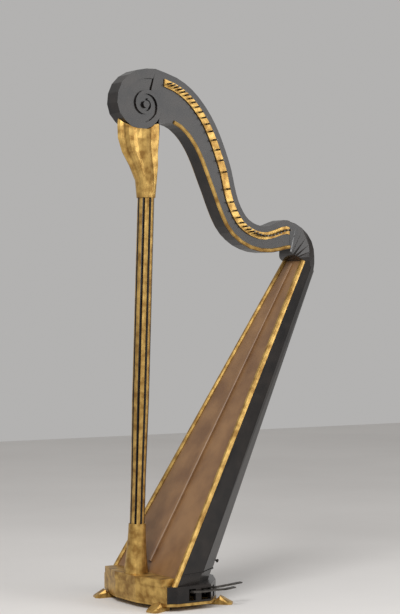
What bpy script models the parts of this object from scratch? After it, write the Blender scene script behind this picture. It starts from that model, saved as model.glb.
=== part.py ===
"""Single-action pedal harp with a scroll head, in separate pieces.

Metres, +Z up. The column stands at the front (-X), the player sits at the
back (+X), and the string plane is Y = 0 with the player's left hand at -Y.
Places below are measured from the foot of the column's axis; one empty
then carries the whole harp so that it stands centred on the floor.
"""
import math

import bmesh
import bpy
from mathutils import Matrix, Vector

# Clearances
GAP = 0.0003            # between two pieces that touch
RUN = 0.0006            # round a piece that moves

# Column
COLUMN_LEAN = 0.0316    # metres back for each metre up
COLUMN_TOP = 1.400
COLUMN_TOP_RADIUS = 0.0258
COLUMN_BELLY_RADIUS = 0.0262
COLUMN_LOW_RADIUS = 0.0230
COLUMN_BELLY_HEIGHT = 0.62
COLUMN_LOW_HEIGHT = 0.39
REEDS = 8
REED_SPREAD = math.radians(27)
CHANNEL_DEPTH = 0.0040
ROD_BORE = 0.0134
COLUMN_FOOT_RADIUS = 0.0375
COLUMN_FOOT_HEIGHT = 0.150
COLUMN_FOOT_LIP = 0.0030

# Pedal rods in the column
ROD_RADIUS = 0.0016
ROD_CIRCLE = 0.0102
ROD_STEP = math.radians(42.5)
ROD_TOP = 1.490

# Head
EYE_X, EYE_Z = 0.021, 1.530
SCROLL_HALF = 0.031
SCROLL_CORE_HALF = 0.0245
SCROLL_RIDGE = 0.27     # ridge width as a share of its own radius
SCROLL_EDGE = 0.002     # ridge standing proud of the core's rim
EYE_RADIUS = 0.0110
EYE_HALF = 0.034
SCROLL_START = 72       # degrees round the eye where the neck joins
SCROLL_END = 800
SCROLL_TURN = ((72, 0.1166), (95, 0.1085), (140, 0.1060), (183, 0.1020), (222, 0.0895),
               (261, 0.0765), (310, 0.0645), (360, 0.0550))
SCROLL_SHRINK = 0.0023  # natural log of the radius lost for each degree after one turn
POCKET_TOP = 1.512

# Neck: its upper and lower edge at matching stations, as X and Z
NECK_STATIONS = (
    ((0.0570, 1.6409), (0.0674, 1.4739)), ((0.1337, 1.6190), (0.1059, 1.4776)),
    ((0.1890, 1.5870), (0.1403, 1.4654)), ((0.2306, 1.5470), (0.1700, 1.4420)),
    ((0.2620, 1.5070), (0.1900, 1.4180)), ((0.2870, 1.4650), (0.2055, 1.3950)),
    ((0.3065, 1.4240), (0.2200, 1.3680)), ((0.3230, 1.3840), (0.2330, 1.3400)),
    ((0.3380, 1.3420), (0.2480, 1.3055)), ((0.3500, 1.2930), (0.2650, 1.2680)),
    ((0.3640, 1.2480), (0.2800, 1.2320)), ((0.3835, 1.2120), (0.3020, 1.1860)),
    ((0.4060, 1.1870), (0.3313, 1.1434)), ((0.4370, 1.1720), (0.3800, 1.1070)),
    ((0.4700, 1.1680), (0.4400, 1.0870)), ((0.5010, 1.1765), (0.5000, 1.0850)),
    ((0.5400, 1.1900), (0.5440, 1.0945)), ((0.5660, 1.1880), (0.5660, 1.0972)))
NECK_HALF = 0.029
CHEEK = 0.010           # left wall of the neck, which carries the hooks
COVER = 0.0095          # right board, which closes the neck
CAVITY_UNDER_TOP = 0.043
CAVITY_OVER_EDGE = 0.012
NECK_CUTS = 2           # points between two stations

# Gilt trim of the neck
BAND_INSET = 0.033
BAND_WIDTH = 0.024
BAND_THICK = 0.004
EDGE_WIDTH = 0.013
EDGE_PROUD = 0.007
EDGE_START = 1.4        # stations from the scroll where the edge moulding starts

# Strings' fittings
STRINGS = 36
STRING_FIRST_X = 0.098
STRING_LAST_X = 0.553
TUNING_PIN_RADIUS = 0.0031

# Soundbox, along and square to the soundboard
BOARD_TILT = math.radians(30.3)
BOARD_FOOT_X, BOARD_FOOT_Z = 0.034, 0.086
BOARD_LENGTH = 1.127
BOARD_THICK = 0.004
HALF_WIDTH_LOW, HALF_WIDTH_HIGH = 0.191, 0.0586
DEPTH_LOW, DEPTH_HIGH = 0.193, 0.080
STAVES = 7
STAVE_THICK = 0.005
BORDER_WIDTH = 0.020
BORDER_PROUD = 0.006
BAR_HALF_LOW, BAR_HALF_HIGH = 0.0095, 0.0065
BAR_PROUD_LOW, BAR_PROUD_HIGH = 0.009, 0.006
BAR_START = 0.045
BAR_END_MARGIN = 0.012
LINING_WIDTH, LINING_DEPTH = 0.014, 0.016
TOP_BLOCK = 0.060
SKIRT_HEIGHT = 0.033
SKIRT_WALL = 0.012
SKIRT_INSET = 0.002
BEAD_PROUD = 0.0025
BEAD_HEIGHT = 0.0045
KNOB_RADIUS, KNOB_LENGTH = 0.0060, 0.013
KNOB_HEIGHT = 0.128

# Base
FLOOR_LOW, FLOOR_THICK = 0.015, 0.008
FLOOR_LEDGE = 0.002
BASE_TOP = 0.0733
BASE_WALL = 0.012
BASE_LID = 0.008
FRONT_HALF = 0.060
FRONT_X = -0.030
SHOULDER_X, SHOULDER_Y = 0.002, 0.182
SIDE_X, SIDE_Y = 0.030, 0.196
SIDE_END_X = 0.150
REAR_X, REAR_Y = 0.212, 0.128
BACK_X, BACK_Y = 0.256, 0.046
FLUTE_RADIUS = 0.021
FLUTE_SETBACK = 0.0154
FRONT_THICK = 0.004
PLATE_THICK = 0.022
PLATE_OVERHANG = 0.003

# Pedals
HINGE_RADIUS = 0.055    # from the column's axis
HINGE_Z = 0.0475
HINGE_PIN = 0.0020
LEVER_HALF = 0.0020
LEVER_DEEP = 0.0080
LEVER_OUTER_Z = 0.0560
TOE_LENGTH = 0.034
TOE_HALF = 0.0085
SLOT_LOW, SLOT_HIGH = 0.0290, 0.0640
SPRING_AT = 0.044       # beyond the hinge
SPRING_RADIUS = 0.0050
SPRING_WIRE = 0.0009
SPRING_TURNS = 3.0
RAIL_WIDTH = 0.018
RAIL_TOP = 0.0560
RAIL_SLOT_FLOOR = 0.0300
# Name, slot centre in X and Y, slot width, end of the toe in X, Y and Z
PEDALS = (
    ("D", (0.083, -0.196), 0.024, (0.150, -0.222, 0.0580)),
    ("C", (0.132, -0.196), 0.034, (0.226, -0.212, 0.0575)),
    ("B", (0.181, -0.162), 0.024, (0.272, -0.180, 0.0640)),
    ("E", (0.234, 0.087), 0.024, (0.318, 0.112, 0.0640)),
    ("F", (0.181, 0.162), 0.024, (0.272, 0.180, 0.0640)),
    ("G", (0.132, 0.196), 0.034, (0.226, 0.212, 0.0575)),
    ("A", (0.083, 0.196), 0.024, (0.150, 0.222, 0.0580)))

# Feet: heel and toe in X and Y
FRONT_HEEL, FRONT_TOE = (0.020, 0.147), (-0.048, 0.166)
REAR_HEEL, REAR_TOE = (0.175, 0.106), (0.247, 0.168)
FOOT_HALF = 0.020
FOOT_ARCH = 0.011       # how far the instep rises above the base's floor

UP = Vector((0, 0, 1))
ALONG = Vector((math.sin(BOARD_TILT), 0, math.cos(BOARD_TILT)))
OUT = Vector((math.cos(BOARD_TILT), 0, -math.sin(BOARD_TILT)))
BOARD_FOOT = Vector((BOARD_FOOT_X, 0, BOARD_FOOT_Z))
FLOOR_TOP = FLOOR_LOW + FLOOR_THICK
PLATE_TOP = BASE_TOP + GAP + PLATE_THICK
BOX_LAYER = BOARD_THICK + GAP       # out from the board's face to what is behind it
STAVE_FOOT_Z = BASE_TOP + GAP + SKIRT_HEIGHT + GAP


def clear_scene():
    for old in list(bpy.data.objects):
        bpy.data.objects.remove(old)


def new_collection(name):
    made = bpy.data.collections.new(name)
    bpy.context.scene.collection.children.link(made)
    return made


def finish(name, colour, roughness, metallic=0.0):
    made = bpy.data.materials.new(name)
    made.use_nodes = True
    shader = made.node_tree.nodes["Principled BSDF"]
    shader.inputs["Base Color"].default_value = (*colour, 1)
    shader.inputs["Roughness"].default_value = roughness
    shader.inputs["Metallic"].default_value = metallic
    return made


clear_scene()
PIECES = new_collection("pedal_harp")
CUTTERS = new_collection("cutters")
LACQUER = (0.018, 0.015, 0.014)
GILT = (0.62, 0.40, 0.10)
IRON = (0.10, 0.10, 0.10)
STEEL = (0.45, 0.45, 0.46)
WOOD = (0.36, 0.20, 0.09)

STAND = bpy.data.objects.new("harp_on_floor", None)
PIECES.objects.link(STAND)


# Placing and joining

def place(obj, carrier=None):
    """Put an object in the harp, carried by the floor empty or by a joint's empty."""
    obj.parent = carrier or STAND
    PIECES.objects.link(obj)
    return obj


def from_bmesh(name, bm, colour, roughness=0.35, metallic=0.0, smooth=None):
    bmesh.ops.recalc_face_normals(bm, faces=bm.faces)
    mesh = bpy.data.meshes.new(name)
    bm.to_mesh(mesh)
    bm.free()
    mesh.materials.append(finish(name, colour, roughness, metallic))
    if smooth:
        mesh.shade_smooth()
        mesh.set_sharp_from_angle(angle=math.radians(smooth))
    return bpy.data.objects.new(name, mesh)


def loft_into(bm, sections, closed=False):
    """Bridge sections of equal point count; an open run gets two caps."""
    rows = [[bm.verts.new(point) for point in section] for section in sections]
    count = len(rows[0])
    after = rows[1:] + rows[:1] if closed else rows[1:]
    for near, far in zip(rows, after):
        for i in range(count):
            j = (i + 1) % count
            bm.faces.new((near[i], near[j], far[j], far[i]))
    if not closed:
        bm.faces.new(rows[0])
        bm.faces.new(rows[-1])


def loft(name, sections, colour, closed=False, **look):
    bm = bmesh.new()
    loft_into(bm, sections, closed)
    return from_bmesh(name, bm, colour, **look)


def baked(obj):
    """The object's evaluated shape as a plain welded mesh, in the object's place."""
    bpy.context.scene.collection.objects.link(obj)
    bpy.context.view_layer.update()
    graph = bpy.context.evaluated_depsgraph_get()
    mesh = bpy.data.meshes.new_from_object(obj.evaluated_get(graph))
    mesh.transform(obj.matrix_world)
    bm = bmesh.new()
    bm.from_mesh(mesh)
    bmesh.ops.remove_doubles(bm, verts=bm.verts, dist=1e-6)
    bpy.data.objects.remove(obj)
    bpy.data.meshes.remove(mesh)
    return bm


def slab(outline, low, high):
    """Flat outline in X and Z, as thick as the two given values of Y."""
    curve = bpy.data.curves.new("outline", "CURVE")
    curve.dimensions = "2D"
    curve.fill_mode = "BOTH"
    curve.extrude = (high - low) / 2
    spline = curve.splines.new("POLY")
    spline.points.add(len(outline) - 1)
    for point, (x, z) in zip(spline.points, outline):
        point.co = (x, z, 0, 1)
    spline.use_cyclic_u = True
    obj = bpy.data.objects.new("outline", curve)
    obj.rotation_euler.x = math.pi / 2
    obj.location.y = (low + high) / 2
    return baked(obj)


def plan(outline, low, high):
    """Flat outline in X and Y, as thick as the two given values of Z."""
    bm = bmesh.new()
    loft_into(bm, [[(x, y, z) for x, y in outline] for z in (low, high)])
    return bm


def turned(profile, steps):
    """Profile in X and Z turned once round Z."""
    mesh = bpy.data.meshes.new("profile")
    ring = math.dist(profile[0], profile[-1]) < 1e-9
    points = profile[:-1] if ring else profile
    edges = [(i, i + 1) for i in range(len(points) - 1)]
    if ring:
        edges.append((len(points) - 1, 0))
    mesh.from_pydata([(x, 0, z) for x, z in points], edges, [])
    obj = bpy.data.objects.new("profile", mesh)
    screw = obj.modifiers.new("turn", "SCREW")
    screw.steps = screw.render_steps = steps
    screw.use_merge_vertices = True
    screw.merge_threshold = 1e-5
    return baked(obj)


def wire(points, radius, resolution, name="wire"):
    """Round wire through the points, closed at both ends."""
    curve = bpy.data.curves.new(name, "CURVE")
    curve.dimensions = "3D"
    curve.bevel_depth = radius
    curve.bevel_resolution = resolution
    curve.use_fill_caps = True
    spline = curve.splines.new("POLY")
    spline.points.add(len(points) - 1)
    for point, co in zip(spline.points, points):
        point.co = (*co, 1)
    return baked(bpy.data.objects.new(name, curve))


def gather(parts):
    """Several loose bodies in one mesh."""
    whole = bmesh.new()
    for part in parts:
        mesh = bpy.data.meshes.new("loose")
        part.to_mesh(mesh)
        part.free()
        whole.from_mesh(mesh)
        bpy.data.meshes.remove(mesh)
    return whole


def rod(start, end, radius, sides=6):
    """Straight rod between two points."""
    start, end = Vector(start), Vector(end)
    bm = bmesh.new()
    turn = (end - start).to_track_quat("Z", "Y").to_matrix().to_4x4()
    at = Matrix.Translation((start + end) / 2) @ turn
    bmesh.ops.create_cone(bm, cap_ends=True, segments=sides, radius1=radius, radius2=radius,
                          depth=(end - start).length, matrix=at)
    return bm


def block(centre, size, turn=0.0):
    """Box turned about Z."""
    bm = bmesh.new()
    at = Matrix.Translation(centre) @ Matrix.Rotation(turn, 4, "Z") @ Matrix.Diagonal((*size, 1))
    bmesh.ops.create_cube(bm, size=1.0, matrix=at)
    return bm


def cutter(name, bm):
    bmesh.ops.recalc_face_normals(bm, faces=bm.faces)
    mesh = bpy.data.meshes.new(name)
    bm.to_mesh(mesh)
    bm.free()
    obj = bpy.data.objects.new(name, mesh)
    obj.parent = STAND
    obj.hide_render = True
    obj.display_type = "WIRE"
    CUTTERS.objects.link(obj)
    return obj


def carve(obj, tool, operation="DIFFERENCE"):
    cut = obj.modifiers.new(tool.name, "BOOLEAN")
    cut.operation = operation
    cut.object = tool
    return obj


def lean(bm):
    """Shear upright work so that it follows the column's axis."""
    shear = Matrix.Identity(4)
    shear[0][2] = COLUMN_LEAN
    bmesh.ops.transform(bm, matrix=shear, verts=bm.verts)
    return bm


def offset(outline, distance):
    """Closed outline moved outwards; its points run anticlockwise."""
    moved = []
    for i, here in enumerate(outline):
        before, after = Vector(outline[i - 1]), Vector(outline[(i + 1) % len(outline)])
        here = Vector(here)
        first, second = (here - before).normalized(), (after - here).normalized()
        normal_a, normal_b = Vector((first.y, -first.x)), Vector((second.y, -second.x))
        bisector = (normal_a + normal_b).normalized()
        moved.append(tuple(here + bisector * distance / bisector.dot(normal_a)))
    return moved


def smooth_through(values, t):
    """Catmull-Rom curve through the values; t counts in values from the first."""
    last = len(values) - 1
    i = min(int(t), last - 1)
    u = t - i
    p0, p1 = Vector(values[max(i - 1, 0)]), Vector(values[i])
    p2, p3 = Vector(values[i + 1]), Vector(values[min(i + 2, last)])
    return 0.5 * (2 * p1 + (p2 - p0) * u + (2 * p0 - 5 * p1 + 4 * p2 - p3) * u * u
                  + (3 * p1 - p0 - 3 * p2 + p3) * u ** 3)


# Column, its foot, the capital and the rods

def column_radius(z):
    low, belly = COLUMN_LOW_HEIGHT, COLUMN_BELLY_HEIGHT
    if z < low:
        return COLUMN_LOW_RADIUS
    if z < belly:
        return COLUMN_LOW_RADIUS + (COLUMN_BELLY_RADIUS - COLUMN_LOW_RADIUS) * (z - low) / (belly - low)
    rise = (z - belly) / (COLUMN_TOP - belly)
    return COLUMN_BELLY_RADIUS + (COLUMN_TOP_RADIUS - COLUMN_BELLY_RADIUS) * rise


def column():
    """Hollow reeded shaft: flat gilt reeds with a dark channel between each two."""
    levels = (PLATE_TOP + GAP, COLUMN_LOW_HEIGHT, COLUMN_BELLY_HEIGHT, COLUMN_TOP)
    pitch = 2 * math.pi / REEDS
    sections = []
    for reed in range(REEDS):
        middle = (reed + 0.5) * pitch
        for turn, sunk in ((-0.5, 0), (0, 0), (0.5, 0), (None, 1)):
            angle = middle + (pitch / 2 if turn is None else turn * REED_SPREAD)
            way = Vector((math.cos(angle), math.sin(angle), 0))
            outer = [way * (column_radius(z) - sunk * CHANNEL_DEPTH) + UP * z for z in levels]
            inner = [way * ROD_BORE + UP * z for z in (levels[-1], levels[0])]
            sections.append(outer + inner)
    bm = bmesh.new()
    loft_into(bm, sections, closed=True)
    place(from_bmesh("column", lean(bm), GILT, metallic=0.6, smooth=40))


def column_foot():
    """Flared collar carved with leaves, slipped over the shaft's lower end."""
    low, rise = PLATE_TOP + GAP, COLUMN_FOOT_HEIGHT
    inner = COLUMN_LOW_RADIUS + GAP
    lip = inner + COLUMN_FOOT_LIP
    flare = [(lip + (COLUMN_FOOT_RADIUS - lip) * (1 - step / 6) ** 1.6, low + rise * step / 6)
             for step in range(6, -1, -1)]
    profile = [(inner, low + rise)] + flare + [(inner, low), (inner, low + rise)]
    obj = from_bmesh("column_foot", lean(turned(profile, 24)), GILT, metallic=0.6, smooth=40)
    carve(obj, BEHIND_BOARD)
    place(obj)


def capital():
    """Lobed console of leaves under the scroll, drawn forwards from the shaft."""
    inner = column_radius(COLUMN_TOP) + GAP
    # Height, centre in X, half length, half width, lobe depth
    rings = ((1.246, 0, inner + 0.0030, inner + 0.0030, 0), (1.300, -0.002, 0.0345, 0.0315, 0.0015),
             (1.345, -0.012, 0.0480, 0.0350, 0.003), (1.385, -0.026, 0.0610, 0.0385, 0.004),
             (1.425, -0.032, 0.0690, 0.0410, 0.005), (1.462, -0.033, 0.0720, 0.0405, 0.004),
             (1.500, -0.033, 0.0700, 0.0370, 0.003))
    sides = 32
    sections = []
    for z, shift, long_half, wide_half, lobe in rings:
        ring = []
        for i in range(sides):
            angle = 2 * math.pi * i / sides
            bulge = lobe * math.cos(REEDS * angle)
            ring.append((shift + (long_half + bulge) * math.cos(angle) + COLUMN_LEAN * z,
                         (wide_half + bulge) * math.sin(angle), z))
        sections.append(ring)
    obj = loft("capital", sections, GILT, metallic=0.6, smooth=40)
    seat = plan(ring_points(inner, 32), 1.20, COLUMN_TOP + GAP)
    carve(obj, cutter("column_seat", lean(seat)))
    carve(obj, ROD_WAY)
    carve(obj, UNDER_HEAD)
    place(obj)


def ring_points(radius, count, centre=(0, 0)):
    return [(centre[0] + radius * math.cos(2 * math.pi * i / count),
             centre[1] + radius * math.sin(2 * math.pi * i / count)) for i in range(count)]


def rod_place(index):
    """X and Y of a pedal's rod from the column's axis."""
    angle = (index - (len(PEDALS) - 1) / 2) * ROD_STEP
    return Vector((ROD_CIRCLE * math.cos(angle), ROD_CIRCLE * math.sin(angle)))


def pedal_rods():
    """Iron rods that the pedals lift inside the column."""
    low = HINGE_Z + LEVER_DEEP / 2 + RUN
    for index, (note, *_) in enumerate(PEDALS):
        at = rod_place(index)
        bm = bmesh.new()
        circle = ring_points(ROD_RADIUS, 6, at)
        loft_into(bm, [[(x, y, z) for x, y in circle] for z in (low, ROD_TOP)])
        place(from_bmesh(f"pedal_rod_{note}", lean(bm), IRON, metallic=1.0, smooth=50))


# Head

def scroll_radius(degrees):
    """Radius of the scroll's outer edge; it keeps shrinking after the first turn."""
    last_angle, last_radius = SCROLL_TURN[-1]
    if degrees >= last_angle:
        return last_radius * math.exp(-SCROLL_SHRINK * (degrees - last_angle))
    for (a, radius_a), (b, radius_b) in zip(SCROLL_TURN, SCROLL_TURN[1:]):
        if degrees <= b:
            share = (degrees - a) / (b - a)
            share = share * share * (3 - 2 * share)
            return radius_a + (radius_b - radius_a) * share
    return last_radius


def round_eye(degrees, radius):
    angle = math.radians(degrees)
    return (EYE_X + radius * math.cos(angle), EYE_Z + radius * math.sin(angle))


def scroll():
    """Volute rolled up from the neck's front end: a core and a spiral ridge on both faces."""
    start = SCROLL_START
    turn = range(start, start + 361, 15)
    core = [round_eye(a, scroll_radius(a) - SCROLL_EDGE) for a in turn]
    obj = from_bmesh("scroll", slab(core, -SCROLL_CORE_HALF, SCROLL_CORE_HALF), LACQUER, smooth=35)
    outer = [round_eye(a, scroll_radius(a)) for a in range(start, SCROLL_END, 18)]
    inner = [round_eye(a, scroll_radius(a) * (1 - SCROLL_RIDGE)) for a in range(start, SCROLL_END, 18)]
    ridge = slab(outer + inner[::-1], -SCROLL_HALF, SCROLL_HALF)
    carve(obj, cutter("scroll_ridge", ridge), "UNION")
    eye = rod((EYE_X, -EYE_HALF, EYE_Z), (EYE_X, EYE_HALF, EYE_Z), EYE_RADIUS, 12)
    carve(obj, cutter("scroll_eye", eye), "UNION")
    carve(obj, ROD_WAY)
    place(obj)


def head_underside():
    """Outline of the room that the scroll and the neck's front end take over the capital."""
    belly = [round_eye(a, scroll_radius(a) + 3 * GAP) for a in range(180, 306, 9)]
    edge = [(x, z - 3 * GAP) for x, z in neck_run(0, 2, inset_edge=0.0)]
    high = EYE_Z + 0.1
    return belly + edge + [(edge[-1][0], high), (belly[0][0] - 0.02, high), (belly[0][0] - 0.02, EYE_Z)]


# Neck

def neck_point(station, inset_top=None, inset_edge=None):
    """Point of the neck at a station, measured from its upper or its lower edge."""
    top = smooth_through([s[0] for s in NECK_STATIONS], station)
    edge = smooth_through([s[1] for s in NECK_STATIONS], station)
    way = (edge - top).normalized()
    return top + way * inset_top if inset_top is not None else edge - way * inset_edge


def neck_run(start, stop, **inset):
    count = round((stop - start) * NECK_CUTS)
    return [tuple(neck_point(start + (stop - start) * i / count, **inset)) for i in range(count + 1)]


LAST = len(NECK_STATIONS) - 1


def neck_outline():
    """Upper edge, lower edge, and the end that fits round the scroll."""
    top = neck_run(0, LAST, inset_top=0.0)
    edge = neck_run(0, LAST, inset_edge=0.0)
    hug = [round_eye(a, scroll_radius(a) + 3 * GAP) for a in range(318, SCROLL_START + 361, 12)]
    joint = [(x + GAP, z) for x, z in (round_eye(SCROLL_START, scroll_radius(SCROLL_START)),)]
    return joint + top[1:] + edge[::-1] + hug


def string_station(x, inset):
    """Station where a line at the given inset passes over a string's X."""
    low, high = 0.0, float(LAST)
    for _ in range(40):
        middle = (low + high) / 2
        if neck_point(middle, **inset(middle)).x < x:
            low = middle
        else:
            high = middle
    return low


def string_x(index):
    return STRING_FIRST_X + (STRING_LAST_X - STRING_FIRST_X) * index / (STRINGS - 1)


def tuning_places():
    inset = {"inset_top": BAND_INSET}
    return [neck_point(string_station(string_x(i), lambda s: inset), **inset) for i in range(STRINGS)]


def crossing_rods(places, low, high, radius):
    return gather([rod((x, low, z), (x, high, z), radius) for x, z in places])


def neck():
    """Body of the neck: left cheek, top and lower rim round a cavity open to the right."""
    right = NECK_HALF - COVER - GAP
    obj = from_bmesh("neck", slab(neck_outline(), -NECK_HALF, right), LACQUER, smooth=35)
    start, stop = 0.7, LAST - 0.5
    roof = neck_run(start, stop, inset_top=CAVITY_UNDER_TOP)
    sole = neck_run(start, stop, inset_edge=CAVITY_OVER_EDGE)
    carve(obj, cutter("neck_cavity", slab(roof + sole[::-1], CHEEK - NECK_HALF, NECK_HALF)))
    carve(obj, PIN_HOLES)
    place(obj)
    cover = from_bmesh("neck_cover", slab(neck_outline(), right + GAP, NECK_HALF), LACQUER, smooth=35)
    carve(cover, PIN_HOLES)
    place(cover)


def neck_mouldings():
    """Gilt half-round along the neck's lower edge, one on each side."""
    start, stop = EDGE_START, LAST - 0.15
    count = round((stop - start) * 1.5)
    for side, word in ((-1, "left"), (1, "right")):
        sections = []
        for i in range(count + 1):
            station = start + (stop - start) * i / count
            low = neck_point(station, inset_edge=0.0005)
            high = neck_point(station, inset_edge=EDGE_WIDTH)
            face = NECK_HALF + GAP
            profile = ((0, 0), (1, 0), (0.85, 0.7), (0.5, 1), (0.15, 0.7))
            section = []
            for across, proud in profile:
                point = low.lerp(high, across)
                section.append((point.x, side * (face + EDGE_PROUD * proud), point.y))
            sections.append(section)
        place(loft(f"neck_moulding_{word}", sections, GILT, metallic=0.6, smooth=40))


def pin_band():
    """Carved gilt band on the left cheek, with the tuning pins set along it."""
    start, stop = 0.45, LAST - 0.25
    upper = neck_run(start, stop, inset_top=BAND_INSET - BAND_WIDTH / 2)
    lower = neck_run(start, stop, inset_top=BAND_INSET + BAND_WIDTH / 2)
    face = -NECK_HALF - GAP
    obj = from_bmesh("pin_band", slab(upper + lower[::-1], face - BAND_THICK, face), GILT,
                     metallic=0.6, smooth=35)
    carve(obj, PIN_HOLES)
    place(obj)


# Soundbox

def board_point(along, out, across):
    return BOARD_FOOT + ALONG * along + OUT * out + Vector((0, across, 0))


def width_at(along):
    return HALF_WIDTH_LOW + (HALF_WIDTH_HIGH - HALF_WIDTH_LOW) * along / BOARD_LENGTH


def depth_at(along):
    return DEPTH_LOW + (DEPTH_HIGH - DEPTH_LOW) * along / BOARD_LENGTH


def taper(low, high, along):
    return low + (high - low) * along / BOARD_LENGTH


def cut_level(corner, z):
    """Where a tapering corner line of the soundbox passes a height."""
    low, high = corner(0), corner(BOARD_LENGTH)
    return low + (high - low) * (z - low.z) / (high.z - low.z)


def long_piece(name, corners, stop, colour, start=None, level=None, **look):
    """Straight tapering piece of the soundbox, cut off level or square at its foot."""
    low = [cut_level(c, level) if start is None else c(start) for c in corners]
    return loft(name, [low, [c(stop) for c in corners]], colour, **look)


def shell_corner(turn, inset=0.0, lift=0.0):
    """Corner line of the rounded back; turn runs from -90 to 90 degrees."""
    angle = math.radians(turn)

    def corner(along):
        out = BOX_LAYER + lift + (depth_at(along) - BOX_LAYER - inset) * math.cos(angle)
        return board_point(along, out, (width_at(along) - inset) * math.sin(angle))
    return corner


def stave_turn(k):
    return -90 + 180 * k / STAVES


def soundboard():
    """Spruce board between the two gilt borders."""
    def corner(out, side):
        return lambda a: board_point(a, out, side * (width_at(a) - BORDER_WIDTH - GAP))
    corners = [corner(0, -1), corner(0, 1), corner(BOARD_THICK, 1), corner(BOARD_THICK, -1)]
    place(long_piece("soundboard", corners, BOARD_LENGTH, WOOD, level=BASE_TOP + GAP))


def string_bar():
    """Raised centre bar that the strings are pegged to."""
    def corner(share, side):
        return lambda a: board_point(a, -GAP - share * taper(BAR_PROUD_LOW, BAR_PROUD_HIGH, a),
                                     side * taper(BAR_HALF_LOW, BAR_HALF_HIGH, a))
    corners = [corner(0, -1), corner(0.75, -1), corner(1, -0.7), corner(1, 0.7), corner(0.75, 1),
               corner(0, 1)]
    place(long_piece("string_bar", corners, BOARD_LENGTH - BAR_END_MARGIN, WOOD, start=BAR_START))


def borders():
    """Rounded gilt borders on the front edges of the soundbox."""
    for name, side in (("border_left", -1), ("border_right", 1)):
        def corner(out, inset, side=side):
            return lambda a: board_point(a, out, side * (width_at(a) - inset))
        wide = BORDER_WIDTH
        corners = [corner(BOARD_THICK, wide), corner(-0.4 * BORDER_PROUD, wide),
                   corner(-BORDER_PROUD, 0.72 * wide), corner(-BORDER_PROUD, 0.30 * wide),
                   corner(-0.4 * BORDER_PROUD, 0), corner(BOARD_THICK, 0)]
        place(long_piece(name, corners, BOARD_LENGTH, GILT, level=BASE_TOP + GAP, metallic=0.6,
                         smooth=50))


def back_staves():
    """Seven tapering staves edge to edge make the rounded back."""
    half_gap = math.degrees(GAP / HALF_WIDTH_HIGH)
    for k in range(STAVES):
        first, second = stave_turn(k) + half_gap, stave_turn(k + 1) - half_gap
        corners = [shell_corner(first), shell_corner(second), shell_corner(second, STAVE_THICK),
                   shell_corner(first, STAVE_THICK)]
        place(long_piece(f"back_stave_{k + 1}", corners, BOARD_LENGTH, LACQUER, level=STAVE_FOOT_Z))


def linings():
    """Strips inside the front corners that the soundboard is glued to."""
    outer = STAVE_THICK + GAP
    for side, word in ((-1, "left"), (1, "right")):
        def corner(out, inset, side=side):
            return lambda a: board_point(a, out, side * (width_at(a) - inset))
        deep = BOX_LAYER + LINING_DEPTH
        reach = BORDER_WIDTH + LINING_WIDTH
        slope = shell_slope() * LINING_DEPTH
        corners = [corner(BOX_LAYER, outer), corner(deep, outer + slope), corner(deep, reach),
                   corner(BOX_LAYER, reach)]
        stop = BOARD_LENGTH - TOP_BLOCK - 2 * GAP
        place(long_piece(f"lining_{word}", corners, stop, WOOD, level=STAVE_FOOT_Z))


def shell_slope():
    """How fast the side stave leans inwards, at the top end where it leans most."""
    angle = math.radians(stave_turn(1))
    steepest = max(width_at(a) * (1 + math.sin(angle)) / (depth_at(a) * math.cos(angle))
                   for a in (0, BOARD_LENGTH))
    return steepest + 0.02


def top_block():
    """Solid block in the top of the soundbox, under the shoulder."""
    clear = STAVE_THICK + 6 * GAP
    sections = []
    for along in (BOARD_LENGTH - TOP_BLOCK, BOARD_LENGTH):
        sections.append([shell_corner(stave_turn(k), clear)(along) for k in range(STAVES + 1)])
    place(loft("top_block", sections, WOOD))


def soundbox_skirt():
    """Frame that closes the box's foot, with a small bead under the staves."""
    low, high = BASE_TOP + GAP, BASE_TOP + GAP + SKIRT_HEIGHT
    profile = ((SKIRT_INSET, low, 0), (SKIRT_INSET, high - BEAD_HEIGHT, 0),
               (-BEAD_PROUD, high - 0.7 * BEAD_HEIGHT, 0), (-BEAD_PROUD, high, 0),
               (SKIRT_WALL, high, 1), (SKIRT_WALL, low, 1))
    sections = []
    for k in range(STAVES + 1):
        lift = SKIRT_WALL if k in (0, STAVES) else 0.0
        section = []
        for inset, z, inner in profile:
            corner = shell_corner(stave_turn(k), inset, lift if inner else 0.0)
            section.append(cut_level(corner, z))
        sections.append(section)
    place(loft("soundbox_skirt", sections, LACQUER, closed=True))


def back_knob():
    """Small turned knob low on the left of the back."""
    near = cut_level(shell_corner(stave_turn(2)), KNOB_HEIGHT)
    far = cut_level(shell_corner(stave_turn(3)), KNOB_HEIGHT)
    foot = near.lerp(far, 0.22)
    up_edge = shell_corner(stave_turn(2))(BOARD_LENGTH) - near
    normal = (far - near).cross(up_edge).normalized()
    if normal.x < 0:
        normal.negate()
    r, h = KNOB_RADIUS, KNOB_LENGTH
    profile = [(0, h), (0.7 * r, 0.93 * h), (r, 0.72 * h), (0.8 * r, 0.5 * h), (0.45 * r, 0.38 * h),
               (0.45 * r, 0.12 * h), (0.8 * r, 0.1 * h), (0.8 * r, 0), (0, 0)]
    bm = turned(profile, 12)
    turn = normal.to_track_quat("Z", "Y").to_matrix().to_4x4()
    at = Matrix.Translation(foot + normal * GAP) @ turn
    bmesh.ops.transform(bm, matrix=at, verts=bm.verts)
    place(from_bmesh("back_knob", bm, IRON, metallic=0.8, smooth=50))


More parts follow.
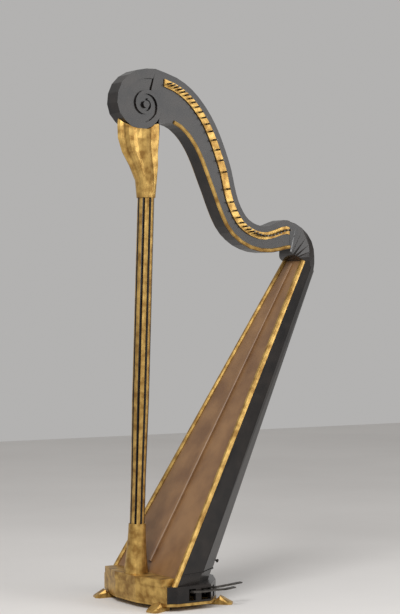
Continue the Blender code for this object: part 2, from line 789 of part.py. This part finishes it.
def shoulder():
    """Rounded knee that turns from the soundbox's top into the neck's end."""
    sides = STAVES
    inner_low = board_point(BOARD_LENGTH + GAP, -BORDER_PROUD, 0)
    outer_low = board_point(BOARD_LENGTH + GAP, DEPTH_HIGH, 0)
    (top_x, top_z), (edge_x, edge_z) = NECK_STATIONS[-1]
    inner_high = Vector((edge_x + GAP, 0, edge_z))
    outer_high = Vector((top_x + GAP, 0, top_z))
    inner_pulls = (inner_low - OUT * 0.018, inner_high - UP * 0.016)
    outer_pulls = (outer_low + Vector((0.030, 0, 0.075)), outer_high + Vector((0.075, 0, -0.012)))
    sections = []
    steps = 8
    for i in range(steps + 1):
        t = i / steps
        inner = bezier(inner_low, *inner_pulls, inner_high, t)
        outer = bezier(outer_low, *outer_pulls, outer_high, t)
        fade = t * t * (3 - 2 * t)
        half = HALF_WIDTH_HIGH + (NECK_HALF - HALF_WIDTH_HIGH) * fade
        power = 2 / (2 + 10 * fade ** 2)
        section = []
        for k in range(sides + 1):
            angle = math.radians(-90 + 180 * k / sides)
            away = math.cos(angle) ** power if k not in (0, sides) else 0.0
            across = math.copysign(abs(math.sin(angle)) ** power, math.sin(angle)) * half
            section.append(inner.lerp(outer, away) + Vector((0, across, 0)))
        sections.append(section)
    place(loft("shoulder", sections, LACQUER, smooth=40))


def bezier(a, b, c, d, t):
    s = 1 - t
    return a * s ** 3 + b * 3 * s * s * t + c * 3 * s * t * t + d * t ** 3


# Base

def base_outline():
    half = [(FRONT_X, FRONT_HALF), (SHOULDER_X, SHOULDER_Y), (SIDE_X, SIDE_Y), (SIDE_END_X, SIDE_Y),
            (REAR_X, REAR_Y), (BACK_X, BACK_Y)]
    return [(x, -y) for x, y in half] + half[::-1]


def base_box():
    """Pedal box: walls and a lid in one, open below, slotted for the pedals."""
    outline = base_outline()
    low = FLOOR_TOP + GAP
    obj = from_bmesh("base_box", plan(outline, low, BASE_TOP), LACQUER, smooth=30)
    hollow = plan(offset(outline, -BASE_WALL), low - 0.01, BASE_TOP - BASE_LID)
    carve(obj, cutter("base_hollow", hollow))
    flutes = []
    for side in (-1, 1):
        middle = Vector(((SHOULDER_X + SIDE_X) / 2, side * (SHOULDER_Y + SIDE_Y) / 2))
        chord = Vector((SIDE_X - SHOULDER_X, side * (SIDE_Y - SHOULDER_Y))).normalized()
        normal = Vector((-side * chord.y, side * chord.x))
        centre = middle + normal * FLUTE_SETBACK
        flutes.append(plan(ring_points(FLUTE_RADIUS, 24, centre), low - 0.01, BASE_TOP + 0.01))
    carve(obj, cutter("corner_flutes", gather(flutes)))
    slots = []
    for note, (x, y), width, _ in PEDALS:
        normal = wall_normal(x, y)
        turn = math.atan2(normal.y, normal.x)
        centre = (x, y, (SLOT_LOW + SLOT_HIGH) / 2)
        slots.append(block(centre, (BASE_WALL * 3, width, SLOT_HIGH - SLOT_LOW), turn))
    carve(obj, cutter("pedal_slots", gather(slots)))
    carve(obj, ROD_WAY)
    place(obj)


def wall_normal(x, y):
    """Outward direction of the base's wall nearest to a point."""
    outline = [Vector(p) for p in base_outline()]
    best = None
    for a, b in zip(outline, outline[1:] + outline[:1]):
        run = (b - a).normalized()
        share = max(0.0, min((b - a).length, (Vector((x, y)) - a).dot(run)))
        away = (a + run * share - Vector((x, y))).length
        if best is None or away < best[0]:
            best = (away, Vector((run.y, -run.x)))
    return best[1]


def base_front():
    """Gilt panels on the three front faces of the base."""
    front = [(SHOULDER_X, -SHOULDER_Y), (FRONT_X, -FRONT_HALF), (FRONT_X, FRONT_HALF),
             (SHOULDER_X, SHOULDER_Y)]
    low, high = FLOOR_TOP + GAP, BASE_TOP
    directions = []
    for i in range(4):
        runs = []
        if i > 0:
            runs.append((Vector(front[i]) - Vector(front[i - 1])).normalized())
        if i < 3:
            runs.append((Vector(front[i + 1]) - Vector(front[i])).normalized())
        normals = [Vector((-run.y, run.x)) for run in runs]
        middle = sum(normals, Vector((0, 0))).normalized()
        directions.append(middle / middle.dot(normals[0]))
    sections = []
    for point, way in zip(front, directions):
        inner = Vector(point) + way * GAP
        outer = Vector(point) + way * (GAP + FRONT_THICK)
        sections.append([(*inner, low), (*outer, low), (*outer, high), (*inner, high)])
    place(loft("base_front", sections, GILT, metallic=0.6))


def base_floor():
    """Board that closes the pedal box below; its edge shows as a gilt line."""
    outline = offset(base_outline(), FLOOR_LEDGE)
    place(from_bmesh("base_floor", plan(outline, FLOOR_LOW, FLOOR_TOP), GILT, metallic=0.4))


def base_plate():
    """Top plate in front of the soundboard, with a carved edge; the column stands on it."""
    low, high = BASE_TOP + GAP, PLATE_TOP
    edge = HALF_WIDTH_LOW - BORDER_WIDTH - 10 * GAP
    share = (edge - FRONT_HALF) / (SHOULDER_Y - FRONT_HALF)
    side_x = FRONT_X + (SHOULDER_X - FRONT_X) * share
    out = PLATE_OVERHANG + FRONT_THICK
    outline = [(side_x - out, -edge), (0.060, -edge), (0.060, edge), (side_x - out, edge),
               (FRONT_X - out, FRONT_HALF), (FRONT_X - out, -FRONT_HALF)]
    obj = from_bmesh("base_plate", plan(outline, low, high), GILT, metallic=0.6)
    carve(obj, BEHIND_BOARD)
    carve(obj, ROD_WAY)
    place(obj)


def foot(name, heel, toe, side):
    """Carved foot: flat heel under the base, raised instep, low broad toe."""
    heel, toe = Vector((heel[0], side * heel[1])), Vector((toe[0], side * toe[1]))
    way = (toe - heel).normalized()
    across = Vector((-way.y, way.x))
    length = (toe - heel).length
    top = FLOOR_LOW - GAP
    # Share of the length, half width as a share, height
    rings = ((0.0, 0.75, top), (foot_edge(heel, toe, side) - 0.02, 0.85, top),
             (foot_edge(heel, toe, side) + 0.03, 0.85, top),
             (foot_edge(heel, toe, side) + 0.14, 0.95, top + FOOT_ARCH),
             (0.86, 1.1, 0.8 * top), (1.0, 0.8, 0.45 * top))
    sections = []
    for share, wide, height in rings:
        centre = heel + way * length * share
        half = FOOT_HALF * wide
        left, right = centre - across * half, centre + across * half
        upper_left, upper_right = centre - across * half * 0.7, centre + across * half * 0.7
        sections.append([(*left, 0), (*right, 0), (*right, 0.6 * height), (*upper_right, height),
                         (*upper_left, height), (*left, 0.6 * height)])
    place(loft(name, sections, GILT, metallic=0.5, smooth=40))


def foot_edge(heel, toe, side):
    """Share of the way from heel to toe where the foot comes out from under the base."""
    outline = [Vector(p) for p in offset(base_outline(), FLOOR_LEDGE)]
    for a, b in zip(outline, outline[1:] + outline[:1]):
        run, way = b - a, toe - heel
        cross = way.x * run.y - way.y * run.x
        if abs(cross) < 1e-9:
            continue
        share = ((a.x - heel.x) * run.y - (a.y - heel.y) * run.x) / cross
        on_edge = ((a.x - heel.x) * way.y - (a.y - heel.y) * way.x) / cross
        if 0 < share < 1 and 0 <= on_edge <= 1:
            return share
    return 0.5


# Pedals

def axis_foot():
    return Vector((COLUMN_LEAN * HINGE_Z, 0))


def pedal_layout(index):
    """Hinge centre, direction to the slot, and rod place of a pedal, all in plan."""
    note, slot, width, tip = PEDALS[index]
    way = (Vector(slot) - axis_foot()).normalized()
    return axis_foot() + way * HINGE_RADIUS, way, axis_foot() + rod_place(index)


def pedals():
    """Iron levers: inner end under a rod, hinge in the rail, toe outside the base."""
    for index, (note, slot, width, tip) in enumerate(PEDALS):
        hinge, way, rod_at = pedal_layout(index)
        carrier = bpy.data.objects.new(f"hinge_{note}", None)
        carrier.location = (*hinge, HINGE_Z)
        carrier.rotation_euler.z = math.atan2(way.y, way.x)
        carrier.parent = STAND
        PIECES.objects.link(carrier)
        inner_way = (rod_at - hinge).normalized()
        inner = rod_at + inner_way * ROD_RADIUS
        outside = Vector(slot) + way * 0.006
        tip_at = Vector(tip[:2])
        toe_way = (tip_at - outside).normalized()
        toe_start = tip_at - toe_way * TOE_LENGTH
        rise = tip[2]
        # Place, height of the middle, half width, half depth
        run = ((inner, HINGE_Z, LEVER_HALF * 0.75, LEVER_DEEP / 2),
               (hinge - way * 0.007, HINGE_Z, LEVER_HALF, LEVER_DEEP / 2),
               (hinge + way * 0.007, HINGE_Z, LEVER_HALF, LEVER_DEEP / 2),
               (outside, LEVER_OUTER_Z, LEVER_HALF * 1.3, LEVER_DEEP * 0.42),
               (toe_start, rise - 0.002, LEVER_HALF * 1.6, LEVER_DEEP * 0.34),
               (toe_start + toe_way * 0.008, rise - 0.001, TOE_HALF * 0.9, LEVER_DEEP * 0.25),
               (tip_at, rise + 0.002, TOE_HALF, LEVER_DEEP * 0.2))
        sections = []
        for i, (at, z, half, deep) in enumerate(run):
            before = run[i - 1][0] if i else at - (run[1][0] - at)
            after = run[i + 1][0] if i < len(run) - 1 else at + (at - before)
            lane = ((at - before).normalized() + (after - at).normalized()).normalized()
            across = Vector((-lane.y, lane.x)) * half
            left, right = at - across, at + across
            sections.append([(*left, z - deep), (*right, z - deep), (*right, z + deep),
                             (*left, z + deep)])
        bm = bmesh.new()
        loft_into(bm, sections)
        spot = carrier_matrix(hinge, way).inverted()
        bmesh.ops.transform(bm, matrix=spot, verts=bm.verts)
        obj = from_bmesh(f"pedal_{note}", bm, IRON, metallic=1.0)
        pin = rod((0, -PIVOT_HALF, 0), (0, PIVOT_HALF, 0), HINGE_PIN, 8)
        pin_tool = cutter(f"pivot_pin_{note}", pin)
        pin_tool.parent = carrier
        carve(obj, pin_tool, "UNION")
        place(obj, carrier)


def carrier_matrix(hinge, way):
    turn = Matrix.Rotation(math.atan2(way.y, way.x), 4, "Z")
    return Matrix.Translation((*hinge, HINGE_Z)) @ turn


def hinge_pins(radius, half_length):
    parts = []
    for index in range(len(PEDALS)):
        hinge, way, _ = pedal_layout(index)
        side = Vector((-way.y, way.x)) * half_length
        parts.append(rod((*(hinge - side), HINGE_Z), (*(hinge + side), HINGE_Z), radius, 8))
    return gather(parts)


def pivot_rail():
    """Curved block on the floor, slotted for the levers and drilled for their pins."""
    low = FLOOR_TOP + GAP
    outer, inner = HINGE_RADIUS + RAIL_WIDTH / 2, HINGE_RADIUS - RAIL_WIDTH / 2
    first = math.atan2(PEDALS[0][1][1], PEDALS[0][1][0]) - math.radians(9)
    sections = []
    steps = 16
    for i in range(steps + 1):
        angle = first - 2 * first * i / steps
        ray = Vector((math.cos(angle), math.sin(angle)))
        near, far = axis_foot() + ray * inner, axis_foot() + ray * outer
        sections.append([(*near, low), (*far, low), (*far, RAIL_TOP), (*near, RAIL_TOP)])
    obj = loft("pivot_rail", sections, WOOD)
    slots = []
    for index in range(len(PEDALS)):
        hinge, way, _ = pedal_layout(index)
        centre = (*hinge, (RAIL_SLOT_FLOOR + RAIL_TOP + 0.01) / 2)
        size = (RAIL_WIDTH * 1.6, 2 * (LEVER_HALF + RUN), RAIL_TOP + 0.01 - RAIL_SLOT_FLOOR)
        slots.append(block(centre, size, math.atan2(way.y, way.x)))
    carve(obj, cutter("lever_slots", gather(slots)))
    carve(obj, PIN_SEATS)
    place(obj)


def pedal_springs():
    """Coil springs on the base's floor that push the levers up again."""
    low = FLOOR_TOP + GAP
    for index, (note, slot, *_) in enumerate(PEDALS):
        hinge, way, _ = pedal_layout(index)
        centre = hinge + way * SPRING_AT
        reach = (Vector(slot) + way * 0.006 - hinge).length
        share = (SPRING_AT - 0.007) / (reach - 0.007)
        under = HINGE_Z + (LEVER_OUTER_Z - HINGE_Z) * share - LEVER_DEEP / 2
        high = under - 2.5 * GAP - SPRING_WIRE
        foot_z = low + SPRING_WIRE + GAP
        points = []
        count = round(SPRING_TURNS * 8)
        for i in range(count + 1):
            angle = 2 * math.pi * i / 8
            points.append((centre.x + (SPRING_RADIUS - SPRING_WIRE) * math.cos(angle),
                           centre.y + (SPRING_RADIUS - SPRING_WIRE) * math.sin(angle),
                           foot_z + (high - foot_z) * i / count))
        coil = wire(points, SPRING_WIRE, 1)
        place(from_bmesh(f"pedal_spring_{note}", coil, STEEL, metallic=1.0, smooth=60))


def stand_centred():
    """Slide the whole harp so that its box is centred over the origin in X."""
    bpy.context.view_layer.update()
    graph = bpy.context.evaluated_depsgraph_get()
    reach = []
    for obj in PIECES.objects:
        if obj.type == "MESH":
            seen = obj.evaluated_get(graph)
            reach += [(seen.matrix_world @ v.co).x for v in seen.data.vertices]
    STAND.location.x = -(min(reach) + max(reach)) / 2
    bpy.context.view_layer.update()


PIVOT_HALF = LEVER_HALF + RUN + 0.0022
PIN_HOLES = cutter("tuning_pin_holes", crossing_rods(tuning_places(), -0.070, 0.070,
                                                     TUNING_PIN_RADIUS + GAP))
PIN_SEATS = cutter("pin_seats", hinge_pins(HINGE_PIN + GAP, PIVOT_HALF + GAP))
ROD_WAY = cutter("rod_way", lean(plan(ring_points(ROD_BORE, 24), FLOOR_TOP + 0.03, POCKET_TOP)))
BEHIND = [board_point(a, o, 0) for a, o in ((-0.2, -GAP), (0.5, -GAP), (0.5, 0.3), (-0.2, 0.3))]
BEHIND_BOARD = cutter("behind_board", slab([(p.x, p.z) for p in BEHIND], -0.3, 0.3))
UNDER_HEAD = cutter("under_head", slab(head_underside(), -0.1, 0.1))


def main():
    column()
    column_foot()
    capital()
    pedal_rods()
    scroll()
    neck()
    neck_mouldings()
    pin_band()
    shoulder()
    soundboard()
    string_bar()
    borders()
    back_staves()
    linings()
    top_block()
    soundbox_skirt()
    back_knob()
    base_box()
    base_front()
    base_floor()
    base_plate()
    for side, word in ((-1, "left"), (1, "right")):
        foot(f"front_foot_{word}", FRONT_HEEL, FRONT_TOE, side)
        foot(f"rear_foot_{word}", REAR_HEEL, REAR_TOE, side)
    pivot_rail()
    pedals()
    pedal_springs()
    stand_centred()


main()
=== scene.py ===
# %% [markdown]
# A single-action pedal harp in black lacquer and gilt.
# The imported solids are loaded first; every later step dresses them.

# %% Load the harp
import math

import bpy
import bmesh
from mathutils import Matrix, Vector


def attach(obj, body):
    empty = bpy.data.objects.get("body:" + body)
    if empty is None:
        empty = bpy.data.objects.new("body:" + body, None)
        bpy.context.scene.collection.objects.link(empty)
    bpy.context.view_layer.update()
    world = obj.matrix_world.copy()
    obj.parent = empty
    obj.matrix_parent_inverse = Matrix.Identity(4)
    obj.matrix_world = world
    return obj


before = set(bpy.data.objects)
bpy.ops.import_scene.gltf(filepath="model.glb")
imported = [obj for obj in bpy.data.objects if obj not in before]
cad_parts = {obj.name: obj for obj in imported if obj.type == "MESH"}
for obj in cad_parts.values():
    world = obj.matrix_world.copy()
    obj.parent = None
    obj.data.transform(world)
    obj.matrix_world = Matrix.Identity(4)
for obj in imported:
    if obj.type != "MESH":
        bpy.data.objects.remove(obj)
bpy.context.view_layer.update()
AXIS_X = -0.29788       # the column's foot from the middle of the harp

# %% [markdown]
# Lacquer, gilding, iron and wood are the harp's few finishes.
# Each gets a slow change of colour and a fine unevenness, as hand work has.
# Object coordinates keep the pattern fixed to the piece when it moves.

# %% Finishes
CLOUD_EDGES = (0.35, 0.65)      # noise values where the dark and the light colour are full
FINE_TO_CLOUD = 12              # how much finer the bump is than the colour
BUMP_HEIGHT = 0.0006


def finish(name, dark, light, roughness, metallic=0.0, scale=18.0, bump=0.25, coat=0.0):
    """Mottled finish between two colours with a fine bump."""
    made = bpy.data.materials.new(name)
    made.use_nodes = True
    tree = made.node_tree
    shader = tree.nodes["Principled BSDF"]
    place = tree.nodes.new("ShaderNodeTexCoord")
    cloud = tree.nodes.new("ShaderNodeTexNoise")
    cloud.inputs["Scale"].default_value = scale
    cloud.inputs["Detail"].default_value = 6.0
    ramp = tree.nodes.new("ShaderNodeValToRGB")
    ramp.color_ramp.elements[0].position = CLOUD_EDGES[0]
    ramp.color_ramp.elements[0].color = (*dark, 1)
    ramp.color_ramp.elements[1].position = CLOUD_EDGES[1]
    ramp.color_ramp.elements[1].color = (*light, 1)
    fine = tree.nodes.new("ShaderNodeTexNoise")
    fine.inputs["Scale"].default_value = scale * FINE_TO_CLOUD
    rise = tree.nodes.new("ShaderNodeBump")
    rise.inputs["Strength"].default_value = bump
    rise.inputs["Distance"].default_value = BUMP_HEIGHT
    tree.links.new(place.outputs["Object"], cloud.inputs["Vector"])
    tree.links.new(place.outputs["Object"], fine.inputs["Vector"])
    tree.links.new(cloud.outputs["Fac"], ramp.inputs["Fac"])
    tree.links.new(ramp.outputs["Color"], shader.inputs["Base Color"])
    tree.links.new(fine.outputs["Fac"], rise.inputs["Height"])
    tree.links.new(rise.outputs["Normal"], shader.inputs["Normal"])
    shader.inputs["Roughness"].default_value = roughness
    shader.inputs["Metallic"].default_value = metallic
    shader.inputs["Coat Weight"].default_value = coat
    return made


LACQUER_SHINE = 0.3
LACQUER = finish("black_lacquer", (0.006, 0.005, 0.005), (0.018, 0.014, 0.012), 0.26, coat=0.1,
                 bump=0.08)
LACQUER.node_tree.nodes["Principled BSDF"].inputs["Specular IOR Level"].default_value = LACQUER_SHINE
GILT = finish("gilding", (0.28, 0.15, 0.035), (0.62, 0.40, 0.12), 0.42, 0.75, 40.0, 0.6)
IRON = finish("pedal_iron", (0.05, 0.045, 0.04), (0.12, 0.11, 0.10), 0.45, 0.9, 60.0)
STEEL = finish("rod_steel", (0.25, 0.25, 0.25), (0.45, 0.45, 0.46), 0.35, 1.0, 60.0)
SPRUCE = finish("soundboard_spruce", (0.16, 0.08, 0.035), (0.26, 0.14, 0.06), 0.40, 0.0, 10.0)
BEECH = finish("inner_beech", (0.22, 0.12, 0.06), (0.36, 0.22, 0.12), 0.60, 0.0, 30.0)
print("six finishes")

# %% [markdown]
# The solids keep their shapes; each takes the finish of its piece.

# %% Dress the solids
GILT_PIECES = ("column", "column_foot", "capital", "pin_band", "border_left", "border_right",
               "base_front", "base_floor", "base_plate", "front_foot_left", "front_foot_right",
               "rear_foot_left", "rear_foot_right", "neck_moulding_left", "neck_moulding_right")


def finish_of(name):
    if name in GILT_PIECES:
        return GILT
    if name.startswith(("pedal_rod", "pedal_spring")):
        return STEEL
    if name.startswith("pedal_") or name == "back_knob":
        return IRON
    if name in ("soundboard", "string_bar"):
        return SPRUCE
    if name in ("pivot_rail", "top_block") or name.startswith("lining"):
        return BEECH
    return LACQUER


for piece in [o for o in bpy.context.scene.objects if o.type == "MESH"]:
    piece.data.materials.clear()
    piece.data.materials.append(finish_of(piece.name))
print("solids dressed")

# %% [markdown]
# The column is gilt on its eight reeds and black in the channels between.
# The channels lie at every eighth of a turn round the column's axis.

# %% Black channels of the column
EIGHTH = math.pi / 4
CHANNEL_HALF = math.radians(9)
COLUMN_LEAN = 0.0316
shaft = bpy.data.objects["column"].data
shaft.materials.append(LACQUER)
for face in shaft.polygons:
    middle = face.center
    turn = math.atan2(middle.y, middle.x - AXIS_X - COLUMN_LEAN * middle.z) % EIGHTH
    if min(turn, EIGHTH - turn) < CHANNEL_HALF:
        face.material_index = 1
print("channels blackened")

# %% [markdown]
# Iron tuning pins pass through the gilt band, the neck and its cover.
# Their places are read from the holes of the band itself.

# %% Tuning pins
HOLE_REACH = 0.0075     # a little more than a hole is wide
HOLE_CORNERS = 6
PIN_RADIUS = 0.0029
PIN_SIDES = 12
PIN_LEFT, PIN_RIGHT = -0.056, 0.050


def hole_middles(node):
    """Middles of the round holes that cross a flat piece."""
    groups = []
    for point in sorted({(round(v.co.x, 5), round(v.co.z, 5)) for v in node.data.vertices}):
        home = next((g for g in groups if math.dist(g[0], point) < HOLE_REACH), None)
        if home:
            home.append(point)
        else:
            groups.append([point])
    return [[sum(axis) / len(g) for axis in zip(*g)] for g in groups if len(g) >= HOLE_CORNERS]


pins = bmesh.new()
for x, z in hole_middles(bpy.data.objects["pin_band"]):
    shank = bmesh.ops.create_cone(pins, cap_ends=True, segments=PIN_SIDES, radius1=PIN_RADIUS,
                                  radius2=PIN_RADIUS, depth=PIN_RIGHT - PIN_LEFT)
    for vert in shank["verts"]:
        vert.co = Vector((x + vert.co.x, vert.co.z + (PIN_LEFT + PIN_RIGHT) / 2, z + vert.co.y))
bmesh.ops.recalc_face_normals(pins, faces=pins.faces)
pin_mesh = bpy.data.meshes.new("tuning_pins")
pins.to_mesh(pin_mesh)
pins.free()
pin_mesh.materials.append(IRON)
tuning_pins = bpy.data.objects.new("tuning_pins", pin_mesh)
bpy.context.scene.collection.objects.link(tuning_pins)
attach(tuning_pins, "frame")
print("tuning pins set", len(pin_mesh.polygons))

# %% [markdown]
# The harp stands on a pale plain floor under large soft lights, seen from
# the player's left and a little in front, at the height of the soundbox.

# %% Floor, lights and camera
FLOOR_HALF = 6
AIM_HEIGHT = 0.8
WORLD_STRENGTH = 0.6
corners = [(FLOOR_HALF * x, FLOOR_HALF * y, 0) for x, y in ((-1, -1), (1, -1), (1, 1), (-1, 1))]
floor_mesh = bpy.data.meshes.new("studio_floor")
floor_mesh.from_pydata(corners, [], [(0, 1, 2, 3)])
floor = bpy.data.objects.new("studio_floor", floor_mesh)
floor_mesh.materials.append(finish("floor_paper", (0.70, 0.68, 0.66), (0.74, 0.72, 0.70), 0.9,
                                   scale=1.0, bump=0.0))
bpy.context.scene.collection.objects.link(floor)


def soft_light(name, place, power, size):
    lamp = bpy.data.lights.new(name, "AREA")
    lamp.energy = power
    lamp.size = size
    made = bpy.data.objects.new(name, lamp)
    made.location = place
    aim = Vector((0, 0, AIM_HEIGHT)) - Vector(place)
    made.rotation_euler = aim.to_track_quat("-Z", "Y").to_euler()
    bpy.context.scene.collection.objects.link(made)


soft_light("key_light", (-3.0, -2.5, 3.5), 160, 2.0)
soft_light("fill_light", (2.5, -3.5, 2.2), 80, 2.5)
world = bpy.data.worlds.new("studio")
world.use_nodes = True
world.node_tree.nodes["Background"].inputs["Color"].default_value = (0.75, 0.74, 0.73, 1)
world.node_tree.nodes["Background"].inputs["Strength"].default_value = WORLD_STRENGTH
bpy.context.scene.world = world

LENS = 102.0
TURN = math.radians(33.232)
CAMERA_FROM_COLUMN = (-2.7573, -4.5722, 0.9098)
camera = bpy.data.objects.new("camera", bpy.data.cameras.new("camera"))
camera.data.lens = LENS
camera.location = Vector(CAMERA_FROM_COLUMN) + Vector((AXIS_X, 0, 0))
camera.rotation_euler = (math.pi / 2, 0, -TURN)
bpy.context.scene.collection.objects.link(camera)
bpy.context.scene.camera = camera
bpy.context.scene.view_settings.view_transform = "Standard"

# %% [markdown]
# The last step only prints a closing line.

# %% End
print("scene built")
